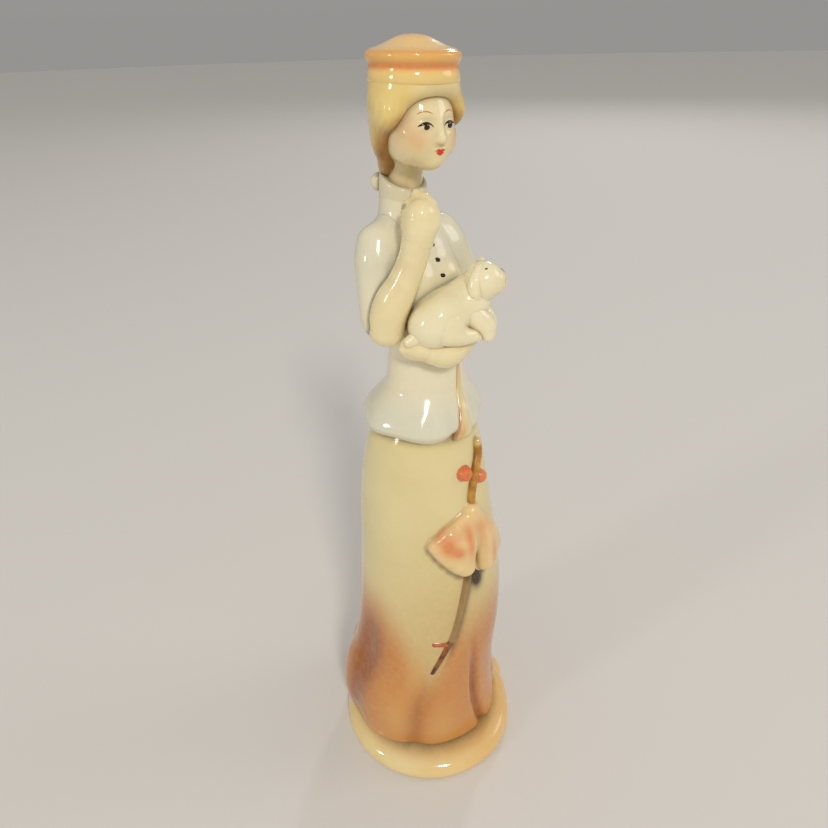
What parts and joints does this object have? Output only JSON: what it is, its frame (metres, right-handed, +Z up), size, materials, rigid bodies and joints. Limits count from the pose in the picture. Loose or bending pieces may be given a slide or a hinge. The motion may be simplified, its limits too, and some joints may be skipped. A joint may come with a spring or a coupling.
{
  "type": "porcelain figurine",
  "caption": "Tall glazed porcelain lady in a pillbox hat and long flared skirt, holding a small dog, with a closed parasol in relief, on a round plinth.",
  "frame": {"origin": "centre of the round foot ring's flat face, under the middle of the plinth", "axes": "+Z up along the figure's height; the figure faces -Y, its right hand is at -X"},
  "size_m": [0.083, 0.083, 0.29],
  "materials": {
    "glaze_base": "glossy clear glaze over painted and airbrushed colour",
    "glaze_skirt": "glossy clear glaze over painted and airbrushed colour",
    "glaze_jacket": "glossy clear glaze over painted and airbrushed colour",
    "glaze_placket": "glossy clear glaze over painted and airbrushed colour",
    "glaze_black": "glossy clear glaze over painted and airbrushed colour",
    "glaze_cream": "glossy clear glaze over painted and airbrushed colour",
    "glaze_face": "glossy clear glaze over painted and airbrushed colour",
    "glaze_hair": "glossy clear glaze over painted and airbrushed colour",
    "glaze_hat": "glossy clear glaze over painted and airbrushed colour",
    "glaze_skin": "glossy clear glaze over painted and airbrushed colour",
    "glaze_dog": "glossy clear glaze over painted and airbrushed colour",
    "glaze_gold": "glossy clear glaze over painted and airbrushed colour",
    "glaze_coral": "glossy clear glaze over painted and airbrushed colour",
    "glaze_tip": "glossy clear glaze over painted and airbrushed colour"
  },
  "bodies": {
    "root": {"base_plinth": "glaze_base", "skirt": "glaze_skirt", "jacket_body": "glaze_jacket", "jacket_peplum": "glaze_jacket", "jacket_placket": "glaze_placket", "jacket_buttons": "glaze_black", "collar": "glaze_cream", "nape_bow": "glaze_cream", "head": "glaze_face", "hair": "glaze_hair", "ponytail": "glaze_hair", "hat_band": "glaze_hat", "hat_crown": "glaze_hat", "right_sleeve": "glaze_jacket", "right_forearm": "glaze_skin", "right_hand": "glaze_skin", "left_sleeve": "glaze_jacket", "left_forearm": "glaze_skin", "left_hand": "glaze_skin", "dog_body": "glaze_dog", "dog_head": "glaze_dog", "dog_ears": "glaze_dog", "dog_front_paws": "glaze_dog", "dog_hind_leg": "glaze_dog", "dog_tail": "glaze_dog", "parasol_handle": "glaze_gold", "parasol_pompoms": "glaze_coral", "parasol_canopy": "glaze_coral", "parasol_shaft": "glaze_skirt", "parasol_tip": "glaze_tip"}
  },
  "joints": []
}
